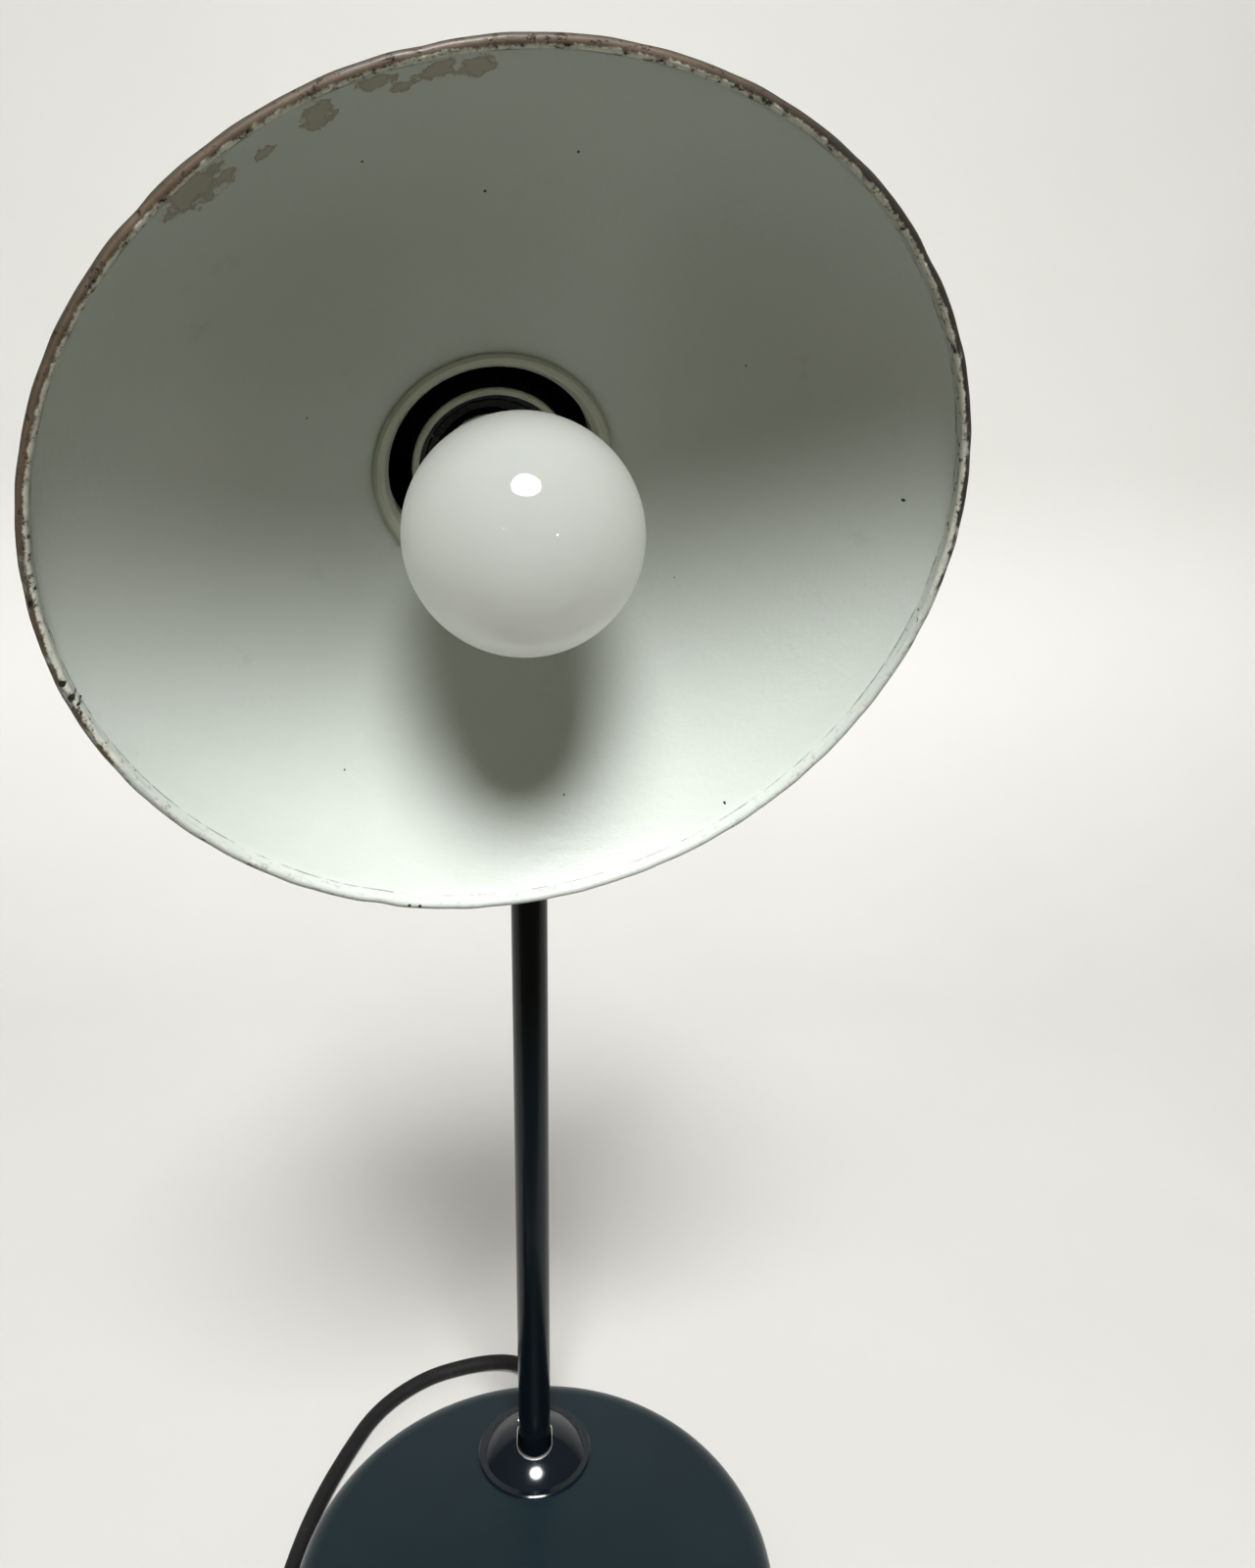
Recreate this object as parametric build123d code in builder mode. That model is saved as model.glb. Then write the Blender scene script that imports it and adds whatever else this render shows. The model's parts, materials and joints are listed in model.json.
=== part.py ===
"""Desk lamp with a round base, a tilting stem and a dish shade on a friction hinge.

Millimetres, +Z up.  The origin is the centre of the base's underside, the stem stands
behind it on +Y, and the shade looks towards -Y.
"""
import os
from math import cos, pi, radians, sin, sqrt, tan

from build123d import *

# ---------------------------------------------------------------- driving dimensions
BASE_R = 90.5            # outer radius of the base
BASE_TOP = 22.0          # height of the base's flat top
BASE_ROUND = 8.0         # radius of the rounded top edge
BASE_WALL = 1.5          # sheet thickness of the base shell
FELT_T = 1.8             # felt under the base
PLATE_T = 1.2            # steel bottom plate
WEIGHT_TOP = 13.9        # top of the cast weight
POST_PCR = 66.0          # radius of the circle that the three posts stand on
POST_ANGLES = (-90, 30, 150)

STEM_Y = 52.75           # the stem stands this far behind the base's centre
STEM_R = 6.5             # stem tube, outside
STEM_BORE = 5.5          # stem tube, inside
STEM_TOP = 437.0         # top of the stem tube
FOOT_SCREW_Z = 38.0      # grub screws that hold the stem's two fittings
HEAD_SCREW_Z = 428.0
TILT_Z = 12.0            # height of the stem's tilting pin
COLLAR_R = 23.3          # slotted dome around the stem's foot
SLOT_TRAVEL = 5.0        # how far the slot lets the stem lean forward at the dome
HUB_R = 16.95            # turning hub under the dome

HINGE_Z = 453.0          # height of the head's hinge
HEAD_YAW = 13.15         # head turned from -Y towards +X
HEAD_DROP = 19.3         # head tilted below level
AXIS_OFFSET = 21.8       # the shade's axis runs this far beside the stem's axis
DISC_R = 11.0            # hinge discs
BOLT_R = 3.0             # hinge bolt

CUP_REAR = 16.7          # distances along the shade's axis, from the hinge
NECK_Z = 64.3
RIM_Z = 116.7
RIM_R = 112.0            # outside of the rolled rim
BEAD_R = 1.5
SHADE_T = 0.9
NECK_R = 30.0            # hole in the shade's neck
HOLDER_FRONT = 61.7      # front edge of the lampholder
HOLDER_BACK = 27.0
SKIRT_IN, SKIRT_OUT = 19.9, 21.7
SWITCH_Z = 23.9          # push bar of the switch, behind the lampholder
BUTTON_R = 3.5
BAR_R = 2.4
SWITCH_TRAVEL = 3.0      # the bar rests pushed half of this to one side
BAR_HALF = 24.6          # half the push bar's length, without its buttons
BULB_R = 30.0            # round part of the bulb
BULB_Z = RIM_Z - 16.0    # centre of the round part
CAP_R = 13.05            # bulb's screw cap
RUN = 0.05               # radial clearance of a running fit

CORD_D = 6.4             # mains lead
CORD_Z = CORD_D / 2 + 0.05
EXIT_Z = 9.6             # height at which the lead leaves the base
COIL_X, COIL_Y = -137.1, -52.0
COIL_R = 33.5            # radius of the coil at the middle of its turns
COIL_COLUMNS = 2.75      # turns side by side
COIL_LAYERS = 4          # turns on top of each other

# the lead's route from the strain relief to the coil, and from the coil to the plug
LEAD_ROUTE = [
    (0, 93.4, EXIT_Z),
    (0, 104.9, 9.2),
    (-5.8, 113.2, 7.4),
    (-15.9, 118.2, 5.0),
    (-31, 118.3, CORD_Z),
    (-52, 111.5, CORD_Z),
    (-71, 94.5, CORD_Z),
    (-81.5, 71.5, CORD_Z),
    (-90.5, 46, CORD_Z),
    (-95.5, 20, CORD_Z),
    (-97.4, -3, CORD_Z),
    (-98.2, -24, CORD_Z),
    (-98, -38, CORD_Z),
]
TAIL_ROUTE = [
    (-98.2, -65, 22.4),
    (-97.5, -77, 21),
    (-94, -91, 15.5),
    (-87, -104, 8),
    (-75, -114, 4),
    (-60, -121, CORD_Z + 0.1),
    (-46, -123.6, 5),
    (-37, -124, 6.9),
]
PLUG_X, PLUG_Y, PLUG_Z = -38.0, -124.0, 6.9

# ---------------------------------------------------------------- frames
yaw, drop = radians(HEAD_YAW), radians(HEAD_DROP)
head_out = Vector(sin(yaw) * cos(drop), -cos(yaw) * cos(drop), -sin(drop))
head_side = Vector(cos(yaw), sin(yaw), 0)
hinge_point = Vector(0, STEM_Y, HINGE_Z)
head_origin = hinge_point - head_side * AXIS_OFFSET

HEAD = Plane(origin=head_origin, x_dir=head_side, z_dir=head_out)
HEAD_CUT = Plane(origin=head_origin, x_dir=head_side, z_dir=-HEAD.y_dir)
HEAD_AXIS = Axis(head_origin, head_out)
HINGE = Plane(origin=head_origin, x_dir=head_out, z_dir=head_side)
HINGE_CUT = Plane(origin=head_origin, x_dir=head_out, z_dir=HEAD.y_dir)
HINGE_AXIS = Axis(head_origin, head_side)
SWITCH = Plane(
    origin=head_origin + head_out * SWITCH_Z - head_side * SWITCH_TRAVEL / 2,
    x_dir=head_out, z_dir=head_side,
)
STEM_CUT = Plane.XZ.offset(-STEM_Y)
STEM_AXIS = Axis((0, STEM_Y, 0), (0, 0, 1))
TILT = Plane(origin=(0, STEM_Y, TILT_Z), x_dir=(0, 1, 0), z_dir=(1, 0, 0))

os.makedirs("parts", exist_ok=True)


def finish(piece, node):
    """Label a finished piece and write it."""
    piece.part.label = node
    export_step(piece.part, f"parts/{node}.step")


def tube_radii(route):
    """Largest tidy arc at each corner of a route."""
    points = [Vector(*p) for p in route]
    radii = []
    for before, corner, after in zip(points, points[1:], points[2:]):
        shorter = min((corner - before).length, (after - corner).length)
        turn = radians((corner - before).get_angle(after - corner))
        radii.append(0.45 * shorter / tan(turn / 2))
    return radii


def post_places():
    """Centres of the three posts and their screws."""
    return [(POST_PCR * cos(radians(a)), POST_PCR * sin(radians(a))) for a in POST_ANGLES]


# ================================================================ base
plate_bottom = FELT_T
plate_top = FELT_T + PLATE_T
under_top = BASE_TOP - BASE_WALL
inner_r = BASE_R - BASE_WALL
shell_foot = 1.2
entry_r = 4.6

with BuildPart() as base_shell:
    with BuildSketch(Plane.XZ):
        with BuildLine():
            l1 = Line((inner_r, shell_foot), (BASE_R, shell_foot))
            l2 = Line(l1 @ 1, (BASE_R, BASE_TOP - BASE_ROUND))
            a1 = RadiusArc(l2 @ 1, (BASE_R - BASE_ROUND, BASE_TOP), -BASE_ROUND)
            l3 = Line(a1 @ 1, (0, BASE_TOP))
            l4 = Line(l3 @ 1, (0, under_top))
            l5 = Line(l4 @ 1, (BASE_R - BASE_ROUND, under_top))
            a2 = RadiusArc(l5 @ 1, (inner_r, BASE_TOP - BASE_ROUND), BASE_ROUND - BASE_WALL)
            l6 = Line(a2 @ 1, l1 @ 0)
        make_face()
    revolve(axis=Axis.Z)
    # posts that the weight hangs from
    with BuildSketch(Plane.XY.offset(WEIGHT_TOP + 0.1)):
        with Locations(*post_places()):
            Circle(5)
            Circle(2.55, mode=Mode.SUBTRACT)
    extrude(amount=under_top - WEIGHT_TOP)
    # hole for the turning hub
    with BuildSketch(Plane.XY.offset(BASE_TOP + 1)):
        with Locations((0, STEM_Y)):
            Circle(HUB_R + RUN)
    extrude(amount=-BASE_WALL - 2, mode=Mode.SUBTRACT)
    # hole for the strain relief
    with BuildSketch(Plane.XZ.offset(-BASE_R - 2)):
        with Locations((0, EXIT_Z)):
            Circle(entry_r)
    extrude(amount=6, mode=Mode.SUBTRACT)
finish(base_shell, "base_shell")

with BuildPart() as base_weight:
    with BuildSketch(Plane.XY.offset(plate_top + 0.1)):
        Circle(inner_r - 4)
        with Locations((0, STEM_Y)):
            Circle(24, mode=Mode.SUBTRACT)
        with Locations((0, STEM_Y + 30)):
            Rectangle(16, 60, mode=Mode.SUBTRACT)
        with Locations(*post_places()):
            Circle(2.8, mode=Mode.SUBTRACT)
    extrude(amount=WEIGHT_TOP - plate_top - 0.1)
    top_edges = base_weight.edges().group_by(Axis.Z)[-1].filter_by(GeomType.CIRCLE)
    chamfer(top_edges.sort_by(SortBy.LENGTH)[-1:], 1.5)
finish(base_weight, "base_weight")

with BuildPart() as base_plate:
    with BuildSketch(Plane.XY.offset(plate_bottom)):
        Circle(inner_r - 0.3)
    extrude(amount=PLATE_T)
    with Locations(*[Location((x, y, plate_bottom), (180, 0, 0)) for x, y in post_places()]):
        CounterSinkHole(2.6, 4.0, depth=PLATE_T)
finish(base_plate, "base_plate")

with BuildPart() as base_felt:
    with BuildSketch():
        Circle(inner_r - 1.2)
    extrude(amount=FELT_T)
finish(base_felt, "base_felt")

with BuildPart() as base_screws:
    for x, y in post_places():
        with BuildSketch(Plane((x, y, plate_bottom), x_dir=(1, 0, 0), z_dir=(0, -1, 0))):
            with BuildLine():
                Polyline((0, 0), (3.8, 0), (2.5, PLATE_T), (2.5, 17), (2, 17.6), (0, 17.6), close=True)
            make_face()
        revolve(axis=Axis((x, y, 0), (0, 0, 1)))
finish(base_screws, "base_screws")

# ---------------------------------------------------------------- lead, strain relief and plug
relief_flange = 5.8
wall_gap = 0.45
with BuildPart() as strain_relief:
    with BuildSketch(Plane.XY.offset(EXIT_Z)):
        with BuildLine():
            Polyline(
                (CORD_D / 2, 81), (5.0, 81), (5.0, 86), (relief_flange, 86),
                (relief_flange, inner_r - wall_gap), (entry_r - 0.1, inner_r - wall_gap),
                (entry_r - 0.1, BASE_R + 0.15), (relief_flange, BASE_R + 0.15), (relief_flange, BASE_R + 1.6),
                (4.9, BASE_R + 2.2), (4.0, BASE_R + 9), (CORD_D / 2, BASE_R + 9), close=True,
            )
        make_face()
    revolve(axis=Axis((0, 0, EXIT_Z), (0, 1, 0)))
    for ring_y in (BASE_R + 3.6, BASE_R + 5.4, BASE_R + 7.2):
        with BuildSketch(Plane.XZ.offset(-ring_y)):
            with Locations((0, EXIT_Z)):
                Circle(7)
                Circle(4.05, mode=Mode.SUBTRACT)
        extrude(amount=-0.7, mode=Mode.SUBTRACT)
finish(strain_relief, "cord_strain_relief")

lead_inner_end = 75.0
lead_outer_end = 93.3
with BuildPart() as inner_lead:
    with BuildSketch(Plane.XZ.offset(-lead_inner_end)):
        with Locations((0, EXIT_Z)):
            Circle(CORD_D / 2 - 0.05)
    extrude(amount=-(lead_outer_end - lead_inner_end))
finish(inner_lead, "inner_lead")

strap_r = 4.4
with BuildPart() as lead_clamp:
    with BuildSketch(Plane.XZ.offset(-76)):
        with Locations((0, EXIT_Z)):
            Circle(strap_r)
        with Locations((0, plate_top + 0.05)):
            Rectangle(2 * strap_r, EXIT_Z - plate_top - 0.05, align=(Align.CENTER, Align.MIN))
            Rectangle(15, 1.2, align=(Align.CENTER, Align.MIN))
        with Locations((0, EXIT_Z)):
            Circle(CORD_D / 2, mode=Mode.SUBTRACT)
            Rectangle(CORD_D, 20, align=(Align.CENTER, Align.MAX), mode=Mode.SUBTRACT)
    extrude(amount=-4)
finish(lead_clamp, "lead_clamp")

with BuildPart() as cord_run:
    with BuildLine():
        run_path = FilletPolyline(*LEAD_ROUTE, radius=tube_radii(LEAD_ROUTE))
    with BuildSketch(Plane(origin=run_path @ 0, z_dir=run_path % 0)):
        Circle(CORD_D / 2)
    sweep()
finish(cord_run, "cord_run")

with BuildPart() as cord_tail:
    with BuildLine():
        tail_path = FilletPolyline(*TAIL_ROUTE, radius=tube_radii(TAIL_ROUTE))
    with BuildSketch(Plane(origin=tail_path @ 0, z_dir=tail_path % 0)):
        Circle(CORD_D / 2)
    sweep()
finish(cord_tail, "cord_tail")

coil_half = (COIL_COLUMNS * CORD_D) / 2
with BuildPart() as cord_coil:
    with BuildSketch(Plane.XY.offset(0.05)):
        with Locations((COIL_X, COIL_Y)):
            Circle(COIL_R + coil_half)
            Circle(COIL_R - coil_half, mode=Mode.SUBTRACT)
    extrude(amount=COIL_LAYERS * CORD_D)
    fillet(cord_coil.edges(), 2.6)
finish(cord_coil, "cord_coil")

with BuildPart() as plug_body:
    with BuildSketch(Plane.XY.offset(0.1)):
        with BuildLine():
            Polyline(
                (PLUG_X, PLUG_Y - 5), (PLUG_X, PLUG_Y + 5), (PLUG_X + 12, PLUG_Y + 7.5),
                (PLUG_X + 24, PLUG_Y + 17.6), (PLUG_X + 35.3, PLUG_Y + 17.6),
                (PLUG_X + 35.3, PLUG_Y - 17.6), (PLUG_X + 24, PLUG_Y - 17.6),
                (PLUG_X + 12, PLUG_Y - 7.5), close=True,
            )
        make_face()
    extrude(amount=13.6)
    fillet(plug_body.edges().filter_by(Axis.Z), 2.4)
    fillet(plug_body.edges().group_by(Axis.Z)[0] + plug_body.edges().group_by(Axis.Z)[-1], 2.0)
finish(plug_body, "plug_body")

with BuildPart() as plug_pins:
    for side in (-9.5, 9.5):
        with BuildSketch(Plane((PLUG_X + 35.3, PLUG_Y + side, PLUG_Z), x_dir=(0, 1, 0), z_dir=(1, 0, 0))):
            Circle(2)
        extrude(amount=19)
    fillet(plug_pins.edges().group_by(Axis.X)[-1], 1.2)
finish(plug_pins, "plug_pins")

# ================================================================ collar: turns on the base
pocket_half = 7.1
pocket_end = 14.5
flange_bottom = BASE_TOP + 0.1
flange_top = flange_bottom + 1.1
flange_r = 18.9
groove_z = 18.2
clip_t = 1.5

with BuildPart() as swivel_hub:
    with BuildSketch(Plane.XY.offset(5)):
        with Locations((0, STEM_Y)):
            Circle(HUB_R)
    extrude(amount=flange_bottom - 5)
    with BuildSketch(Plane.XY.offset(flange_bottom)):
        with Locations((0, STEM_Y)):
            Circle(flange_r)
    extrude(amount=flange_top - flange_bottom)
    with BuildSketch(Plane.XY.offset(5)):
        with Locations((0, STEM_Y)):
            Rectangle(2 * pocket_half, 2 * pocket_end)
    extrude(amount=20, mode=Mode.SUBTRACT)
    with BuildSketch(Plane.XY.offset(groove_z)):
        with Locations((0, STEM_Y)):
            Circle(HUB_R + 1)
            Circle(HUB_R - 0.7, mode=Mode.SUBTRACT)
    extrude(amount=clip_t + 0.1, mode=Mode.SUBTRACT)
    with BuildSketch(TILT.offset(-20)):
        Circle(3.0)
    extrude(amount=40, mode=Mode.SUBTRACT)
finish(swivel_hub, "swivel_hub")

with BuildPart() as swivel_clip:
    with BuildSketch(Plane.XY.offset(groove_z + 0.05)):
        with Locations((0, STEM_Y)):
            Circle(20)
            Circle(HUB_R - 0.65, mode=Mode.SUBTRACT)
        with Locations((0, STEM_Y - 18)):
            Rectangle(7, 8, mode=Mode.SUBTRACT)
    extrude(amount=clip_t)
finish(swivel_clip, "swivel_clip")

with BuildPart() as swivel_washer:
    with BuildSketch(Plane.XY.offset(groove_z + clip_t + 0.1)):
        with Locations((0, STEM_Y)):
            Circle(21.5)
            Circle(HUB_R + 0.2, mode=Mode.SUBTRACT)
    extrude(amount=under_top - groove_z - clip_t - 0.2)
finish(swivel_washer, "swivel_washer")

with BuildPart() as tilt_pin:
    with BuildSketch(TILT.offset(-15.4)):
        Circle(2.95)
    extrude(amount=30.8)
    chamfer(tilt_pin.edges(), 0.4)
finish(tilt_pin, "tilt_pin")

with BuildPart() as tilt_washers:
    for start in (-pocket_half + 0.02, pocket_half - 0.62):
        with BuildSketch(TILT.offset(start)):
            Circle(6.5)
            Circle(3.05, mode=Mode.SUBTRACT)
        extrude(amount=0.6)
finish(tilt_washers, "tilt_washers")

dome_t = 1.1
dome_r = 26.6            # radius of the round surface that the dome is a cap of
dome_centre_z = 6.3
rim_inner_r = flange_r + 0.2
slot_half = STEM_R + 0.45


def dome_z(r, radius):
    """Height of a round surface about the dome's centre, at distance r from the stem."""
    return dome_centre_z + sqrt(radius**2 - r**2)


with BuildPart() as collar_dome:
    with BuildSketch(STEM_CUT):
        with BuildLine():
            outside = ThreePointArc(
                (20.6, dome_z(20.6, dome_r)), (12, dome_z(12, dome_r)), (0, dome_centre_z + dome_r)
            )
            crown = Line(outside @ 1, (0, dome_centre_z + dome_r - dome_t))
            inside = ThreePointArc(
                crown @ 1, (12, dome_z(12, dome_r - dome_t)), (rim_inner_r, dome_z(rim_inner_r, dome_r - dome_t))
            )
            Polyline(
                inside @ 1, (rim_inner_r, flange_bottom), (COLLAR_R, flange_bottom),
                (COLLAR_R, flange_bottom + 0.6), (COLLAR_R - 0.5, flange_bottom + 1), outside @ 0,
            )
        make_face()
    revolve(axis=STEM_AXIS)
    with BuildSketch(Plane.XY.offset(flange_bottom)):
        with Locations((0, STEM_Y), (0, STEM_Y - SLOT_TRAVEL)):
            Circle(slot_half)
        with Locations((0, STEM_Y - SLOT_TRAVEL / 2)):
            Rectangle(2 * slot_half, SLOT_TRAVEL)
    extrude(amount=20, mode=Mode.SUBTRACT)
finish(collar_dome, "collar_dome")

# ================================================================ stem: leans in the collar
wheel_r = 13.0
wheel_half = 6.4
foot_top = 44.0
with BuildPart() as stem_foot:
    with BuildSketch(TILT.offset(-wheel_half)):
        Circle(wheel_r)
        with Locations((0, -5.5)):
            Rectangle(40, 20, align=(Align.CENTER, Align.MAX), mode=Mode.SUBTRACT)
    extrude(amount=2 * wheel_half)
    with BuildSketch(Plane.XY.offset(TILT_Z)):
        with Locations((0, STEM_Y)):
            Circle(STEM_BORE - 0.02)
    extrude(amount=foot_top - TILT_Z)
    with BuildSketch(TILT.offset(-10)):
        Circle(BOLT_R)
    extrude(amount=20, mode=Mode.SUBTRACT)
    # passage for the lead, beside the pin
    with BuildSketch(Plane.XY.offset(TILT_Z + 5)):
        with Locations((0, STEM_Y)):
            Circle(2.7)
    extrude(amount=foot_top, mode=Mode.SUBTRACT)
    with BuildSketch(Plane.XZ.offset(-STEM_Y)):
        with Locations((0, TILT_Z + 7)):
            Circle(2.6)
    extrude(amount=-20, mode=Mode.SUBTRACT)
    with BuildSketch(Plane.YZ.offset(-10)):
        with Locations((STEM_Y, FOOT_SCREW_Z)):
            Circle(1.3)
    extrude(amount=10, mode=Mode.SUBTRACT)
finish(stem_foot, "stem_foot")

with BuildPart() as stem_tube:
    with BuildSketch(Plane.XY.offset(TILT_Z + wheel_r + 0.6)):
        with Locations((0, STEM_Y)):
            Circle(STEM_R)
            Circle(STEM_BORE, mode=Mode.SUBTRACT)
    extrude(amount=STEM_TOP - TILT_Z - wheel_r - 0.6)
    with BuildSketch(Plane.YZ.offset(-10)):
        with Locations((STEM_Y, FOOT_SCREW_Z), (STEM_Y, HEAD_SCREW_Z)):
            Circle(1.3)
    extrude(amount=10, mode=Mode.SUBTRACT)
finish(stem_tube, "stem_tube")

with BuildPart() as stem_screws:
    for height, reach in ((FOOT_SCREW_Z, 4.2), (HEAD_SCREW_Z, 4.6)):
        with BuildSketch(Plane.YZ.offset(-STEM_R - 0.1)):
            with Locations((STEM_Y, height)):
                Circle(1.25)
        extrude(amount=STEM_R + 0.1 - reach)
finish(stem_screws, "stem_screws")

with BuildPart() as stem_lead:
    with BuildSketch(Plane.XY.offset(24)):
        with Locations((0, STEM_Y)):
            Circle(2.4)
    extrude(amount=392)
finish(stem_lead, "stem_lead")

# ================================================================ swivel head: turns on the stem
disc_start = AXIS_OFFSET - 6.5
disc_end = AXIS_OFFSET + 6.5
spigot_foot = 418.0
with BuildPart() as swivel_head:
    with BuildSketch(STEM_CUT):
        with BuildLine():
            spigot = STEM_BORE - RUN
            Polyline(
                (0, spigot_foot), (spigot - 0.5, spigot_foot), (spigot, spigot_foot + 0.5),
                (spigot, HEAD_SCREW_Z - 1.6), (4.3, HEAD_SCREW_Z - 1.6), (4.3, HEAD_SCREW_Z + 1.6),
                (spigot, HEAD_SCREW_Z + 1.6), (spigot, STEM_TOP + 0.1),
                (7.4, STEM_TOP + 0.1), (7.4, STEM_TOP + 3), (6.2, STEM_TOP + 4), (6.2, HINGE_Z - 6),
                (0, HINGE_Z - 6), close=True,
            )
        make_face()
    revolve(axis=STEM_AXIS)
    with BuildSketch(HINGE.offset(disc_start)):
        Circle(DISC_R)
    extrude(amount=disc_end - disc_start)
    fillet(swivel_head.edges().filter_by(GeomType.CIRCLE).group_by(SortBy.RADIUS)[-1], 0.8)
    with BuildSketch(HINGE.offset(disc_start - 1)):
        Circle(BOLT_R + RUN)
    extrude(amount=disc_end - disc_start + 2, mode=Mode.SUBTRACT)
    with BuildSketch(Plane.XY.offset(spigot_foot - 1)):
        with Locations((0, STEM_Y)):
            Circle(2.7)
    extrude(amount=HINGE_Z - BOLT_R - 2 - spigot_foot, mode=Mode.SUBTRACT)
finish(swivel_head, "swivel_head")

# ================================================================ head: tilts on the hinge
lug_start, lug_end = 8.2, 13.7
foot_back = 14.2
with BuildPart() as head_bracket:
    with BuildSketch(HINGE.offset(lug_start)):
        Circle(DISC_R)
        with Locations((CUP_REAR / 2, 0)):
            Rectangle(CUP_REAR - 0.1, 16)
    extrude(amount=lug_end - lug_start)
    with BuildSketch(HEAD.offset(foot_back)):
        Circle(10.5)
        with Locations((lug_end - 5.5, 0)):
            Rectangle(11, 16)
    extrude(amount=CUP_REAR - 0.05 - foot_back)
    with BuildSketch(HEAD):
        Circle(5.1)
    extrude(amount=20, mode=Mode.SUBTRACT)
    with BuildSketch(HINGE):
        Circle(BOLT_R + 0.02)
    extrude(amount=20, mode=Mode.SUBTRACT)
finish(head_bracket, "head_bracket")

with BuildPart() as friction_washer:
    with BuildSketch(HINGE.offset(lug_end + 0.05)):
        Circle(DISC_R - 0.6)
        Circle(BOLT_R + 0.2, mode=Mode.SUBTRACT)
    extrude(amount=disc_start - lug_end - 0.15)
finish(friction_washer, "friction_washer")

bolt_end = 40.6
bolt_head = lug_start - 3.2
with BuildPart() as hinge_bolt:
    with BuildSketch(HINGE_CUT):
        with BuildLine():
            dome = ThreePointArc((0, bolt_head), (3.6, bolt_head + 0.8), (5.6, lug_start - 0.9))
            Polyline(
                dome @ 1, (5.6, lug_start - 0.05), (BOLT_R, lug_start - 0.05), (BOLT_R, bolt_end - 0.6),
                (BOLT_R - 0.6, bolt_end), (0, bolt_end), dome @ 0,
            )
        make_face()
    revolve(axis=HINGE_AXIS)
finish(hinge_bolt, "hinge_bolt")

with BuildPart() as hinge_washer:
    with BuildSketch(HINGE.offset(disc_end + 0.1)):
        Circle(8.5)
        Circle(BOLT_R + 0.2, mode=Mode.SUBTRACT)
    extrude(amount=1.2)
finish(hinge_washer, "hinge_washer")

with BuildPart() as spring_washer:
    with BuildSketch(HINGE.offset(disc_end + 1.35)):
        Circle(6.2)
        Circle(BOLT_R + 0.2, mode=Mode.SUBTRACT)
        with Locations((0, 5)):
            Rectangle(0.9, 5, mode=Mode.SUBTRACT)
    extrude(amount=1.4)
finish(spring_washer, "spring_washer")

knob_start = disc_end + 2.9
knob_length = 12.5
with BuildPart() as clamp_knob:
    with BuildSketch(HINGE.offset(knob_start)):
        Circle(12)
        with PolarLocations(12.9, 10):
            Circle(2.0, mode=Mode.SUBTRACT)
    extrude(amount=knob_length)
    with BuildSketch(HINGE.offset(knob_start)):
        Circle(14)
        Circle(7.5, mode=Mode.SUBTRACT)
    extrude(amount=2.6, mode=Mode.SUBTRACT)
    with BuildSketch(HINGE.offset(knob_start - 1)):
        Circle(4.6)
    extrude(amount=knob_length - 1.5, mode=Mode.SUBTRACT)
finish(clamp_knob, "clamp_knob")

with BuildPart() as knob_insert:
    with BuildSketch(HINGE.offset(knob_start)):
        Circle(4.55)
        Circle(BOLT_R + 0.06, mode=Mode.SUBTRACT)
    extrude(amount=knob_length - 2.7)
finish(knob_insert, "knob_insert")

# ---------------------------------------------------------------- shade, ring and cup
arc_foot = 33.5
lip_r = 109.3
lip_z = 113.2
centre_z = NECK_Z + (lip_r**2 - arc_foot**2 + (lip_z - NECK_Z) ** 2) / (2 * (lip_z - NECK_Z))
bowl_r = sqrt(arc_foot**2 + (centre_z - NECK_Z) ** 2)
mid_r = 78.0


def bowl_point(r, radius):
    """Point of a bowl of the given radius, at distance r from the shade's axis."""
    return (r, centre_z - sqrt(radius**2 - r**2))


with BuildPart() as shade:
    with BuildSketch(HEAD_CUT):
        with BuildLine():
            inner_arc = ThreePointArc((arc_foot, NECK_Z), bowl_point(mid_r, bowl_r), (lip_r, lip_z))
            lip = Line(inner_arc @ 1, (lip_r, RIM_Z))
            over = Line(lip @ 1, (lip_r + SHADE_T, RIM_Z))
            back = Line(over @ 1, (lip_r + SHADE_T, lip_z - 0.4))
            outer_arc = ThreePointArc(
                back @ 1, bowl_point(mid_r, bowl_r + SHADE_T), (arc_foot, NECK_Z - SHADE_T)
            )
            flat = Line(outer_arc @ 1, (NECK_R, NECK_Z - SHADE_T))
            hole = Line(flat @ 1, (NECK_R, NECK_Z))
            Line(hole @ 1, inner_arc @ 0)
        make_face()
        with Locations((RIM_R - BEAD_R, RIM_Z - 0.2)):
            Circle(BEAD_R)
    revolve(axis=HEAD_AXIS)
finish(shade, "shade")

sleeve_r = 29.4
with BuildPart() as shade_ring:
    with BuildSketch(HEAD_CUT):
        with BuildLine():
            Polyline(
                (28.2, 56), (sleeve_r, 56), (sleeve_r, NECK_Z + 0.05), (32.2, NECK_Z + 0.05),
                (32.4, NECK_Z + 0.9), (31.6, NECK_Z + 1.7), (30.4, NECK_Z + 1.7), (29.6, NECK_Z + 1.1),
                (28.2, NECK_Z - 1.4), close=True,
            )
        make_face()
    revolve(axis=HEAD_AXIS)
finish(shade_ring, "shade_ring")

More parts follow.
